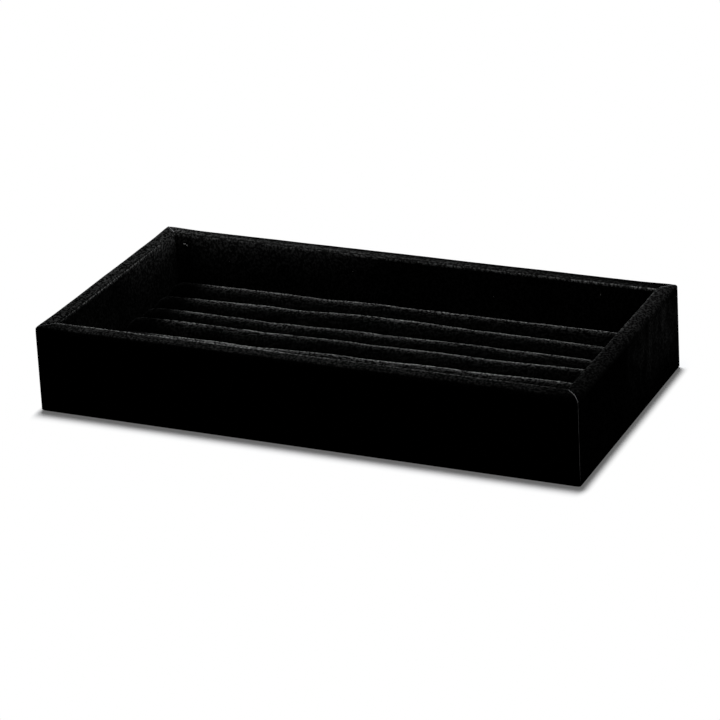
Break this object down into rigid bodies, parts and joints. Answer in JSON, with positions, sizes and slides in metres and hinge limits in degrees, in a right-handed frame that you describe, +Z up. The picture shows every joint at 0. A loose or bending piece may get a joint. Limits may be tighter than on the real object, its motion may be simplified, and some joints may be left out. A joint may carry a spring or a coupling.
{
  "type": "jewelry tray",
  "caption": "Shallow rectangular jewelry tray wrapped in velvet, with mitred rounded rails and a lift-out pad of soft rolls that hold finger rings.",
  "frame": {"origin": "middle of the underside, on the surface that the tray stands on", "axes": "+X along the tray's length to the right as the long front is seen, +Y to the back, +Z up"},
  "size_m": [0.375, 0.192, 0.06],
  "materials": {
    "velvet": "matte",
    "velvet_paper": "matte",
    "felt": "matte",
    "fibreboard": "matte",
    "card": "matte",
    "foam": "matte",
    "wedge_steel": "satin"
  },
  "bodies": {
    "tray": {"front_rail": "fibreboard", "back_rail": "fibreboard", "left_rail": "fibreboard", "right_rail": "fibreboard", "front_velvet": "velvet", "back_velvet": "velvet", "left_velvet": "velvet", "right_velvet": "velvet", "corner_wedges": "wedge_steel", "base_board": "fibreboard", "floor_lining": "velvet_paper", "under_felt": "felt"},
    "lift_out_pad": {"pad_card": "card", "foam_bed": "foam", "pad_skirt": "velvet", "foam_strip_1": "foam", "foam_strip_2": "foam", "foam_strip_3": "foam", "foam_strip_4": "foam", "foam_strip_5": "foam", "foam_strip_6": "foam", "foam_strip_7": "foam", "foam_strip_8": "foam", "velvet_roll_1": "velvet", "velvet_roll_2": "velvet", "velvet_roll_3": "velvet", "velvet_roll_4": "velvet", "velvet_roll_5": "velvet", "velvet_roll_6": "velvet", "velvet_roll_7": "velvet", "velvet_roll_8": "velvet"}
  },
  "joints": [
    {"name": "pad_lift", "type": "slide", "parent": "tray", "child": "lift_out_pad", "axis": [0, 0, 1], "range_m": [0, 0.06]}
  ]
}
